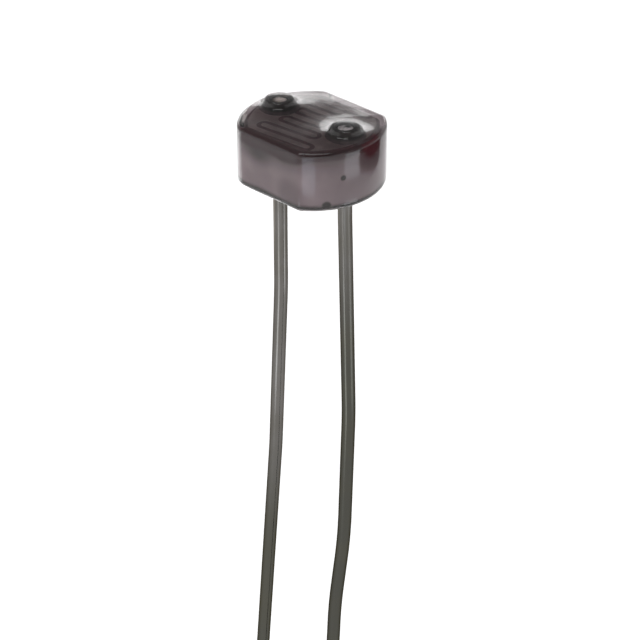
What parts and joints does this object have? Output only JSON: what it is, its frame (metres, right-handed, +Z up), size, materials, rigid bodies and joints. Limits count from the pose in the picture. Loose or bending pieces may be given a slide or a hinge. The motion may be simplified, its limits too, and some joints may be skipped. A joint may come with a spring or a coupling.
{
  "type": "photoresistor",
  "caption": "Photoresistor: flat-sided round ceramic chip with a serpentine light-sensitive track between comb electrodes, coated in clear resin, on long wire leads.",
  "frame": {"origin": "middle of the coat's flat underside", "axes": "+Z up out of the light-sensitive face, +X along the row of leads towards the right lead; the leads hang down along -Z"},
  "size_m": [0.0065, 0.0042, 0.0336],
  "materials": {
    "ceramic": "fine matte fired ceramic, mauve grey through the resin",
    "photo_film": "dark maroon sintered film",
    "electrode_metal": "dull grey-brown evaporated metal film",
    "contact_paste": "dark conductive paste",
    "tinned_wire": "dull tinned wire with drawn streaks",
    "clear_resin": "clear glossy resin with a faint mauve tint"
  },
  "bodies": {
    "root": {"ceramic_chip": "ceramic", "photo_film": "photo_film", "electrode_left": "electrode_metal", "electrode_right": "electrode_metal", "contact_bead_left": "contact_paste", "contact_bead_right": "contact_paste", "lead_left": "tinned_wire", "lead_right": "tinned_wire", "resin_coat": "clear_resin"}
  },
  "joints": []
}
